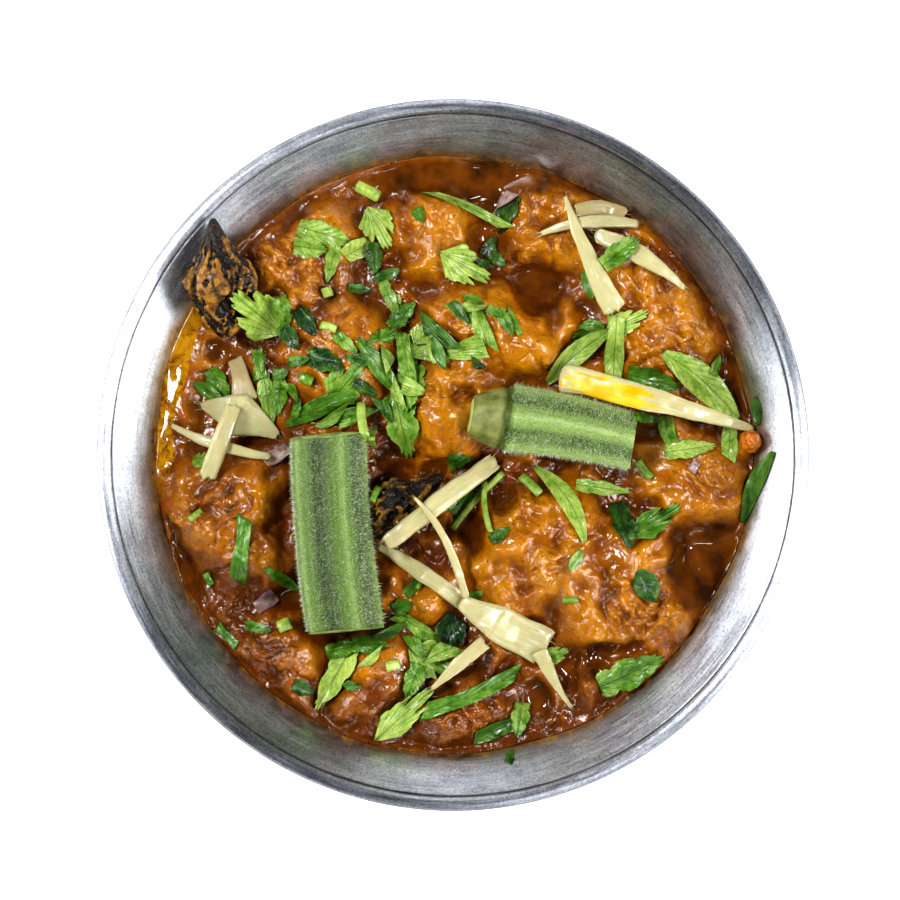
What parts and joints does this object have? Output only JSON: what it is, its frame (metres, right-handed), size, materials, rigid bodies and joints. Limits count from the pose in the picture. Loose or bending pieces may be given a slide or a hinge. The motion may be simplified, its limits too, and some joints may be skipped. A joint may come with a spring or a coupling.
{
  "type": "okra mutton curry",
  "caption": "Thick mutton curry with cut okra, black cardamom pods, ginger shreds and chopped coriander, served in a round steel bowl with a rolled rim.",
  "frame": {"origin": "centre of the bowl's flat foot, on the surface it stands on", "axes": "+Z is up; +X is right and +Y is up in the view from straight above, in which the long okra stands left of the centre"},
  "size_m": [0.165, 0.165, 0.0655],
  "materials": {
    "steel": "satin stainless steel, brushed round the bowl, with fine scratches",
    "gravy": "thick glossy orange-brown curry gravy with red-brown oil in the hollows",
    "mutton": "braised mutton coated in thick glossy orange-brown sauce",
    "okra": "raw green okra with ribs, paler ridges and fine white fuzz",
    "cardamom": "wrinkled near-black cardamom husk with curry on it",
    "ginger": "moist cream-yellow raw ginger with fibres along it",
    "coriander": "fresh chopped coriander leaf, light green to dark green, veined"
  },
  "bodies": {
    "root": {"bowl": "steel", "gravy": "gravy", "mutton_01": "mutton", "mutton_02": "mutton", "mutton_03": "mutton", "mutton_04": "mutton", "mutton_05": "mutton", "mutton_06": "mutton", "mutton_07": "mutton", "mutton_08": "mutton", "mutton_09": "mutton", "mutton_10": "mutton", "mutton_11": "mutton", "mutton_12": "mutton", "mutton_13": "mutton", "mutton_14": "mutton", "mutton_15": "mutton", "mutton_16": "mutton", "mutton_17": "mutton", "okra_long": "okra", "okra_short": "okra", "cardamom_rim": "cardamom", "cardamom_middle": "cardamom", "coriander_01": "coriander", "coriander_02": "coriander", "coriander_03": "coriander", "coriander_04": "coriander", "coriander_05": "coriander", "coriander_06": "coriander", "coriander_07": "coriander", "coriander_08": "coriander", "coriander_09": "coriander", "coriander_10": "coriander", "coriander_11": "coriander", "coriander_12": "coriander", "coriander_13": "coriander", "coriander_14": "coriander", "coriander_15": "coriander", "coriander_16": "coriander", "coriander_17": "coriander", "coriander_18": "coriander", "coriander_19": "coriander", "coriander_20": "coriander", "coriander_21": "coriander", "coriander_22": "coriander", "coriander_23": "coriander", "coriander_24": "coriander", "coriander_25": "coriander", "ginger_01": "ginger", "ginger_02": "ginger", "ginger_03": "ginger", "ginger_04": "ginger", "ginger_05": "ginger", "ginger_06": "ginger", "ginger_07": "ginger", "ginger_08": "ginger", "ginger_09": "ginger", "ginger_10": "ginger", "ginger_11": "ginger", "ginger_12": "ginger"}
  },
  "joints": []
}
